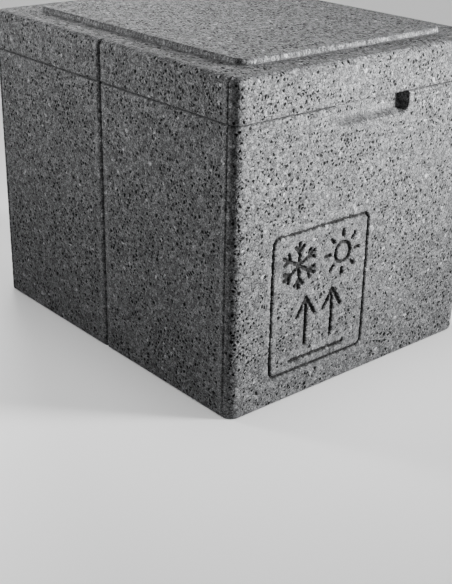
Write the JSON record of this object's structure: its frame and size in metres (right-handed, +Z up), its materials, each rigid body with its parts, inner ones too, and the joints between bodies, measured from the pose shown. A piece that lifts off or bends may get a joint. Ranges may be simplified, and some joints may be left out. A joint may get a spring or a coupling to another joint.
{
  "type": "insulated foam transport box",
  "caption": "Rectangular bead-foam box with a lift-off stepped lid, finger pockets and handling signs, for carrying food hot or cold.",
  "frame": {"origin": "middle of the underside, on the surface the box stands on", "axes": "+Z up through the lid, +Y from the marked short side to the back along the length, +X to the right of the marked side"},
  "size_m": [0.33, 0.39, 0.32],
  "materials": {
    "tub_foam": "moulded bead foam, matt with a faint sheen on each bead",
    "lid_foam": "moulded bead foam, matt with a faint sheen on each bead"
  },
  "bodies": {
    "tub": {"tub": "tub_foam"},
    "lid": {"lid": "lid_foam"}
  },
  "joints": [
    {"name": "lid_lift", "type": "slide", "parent": "tub", "child": "lid", "axis": [0, 0, 1], "range_m": [0, 0.25]}
  ]
}
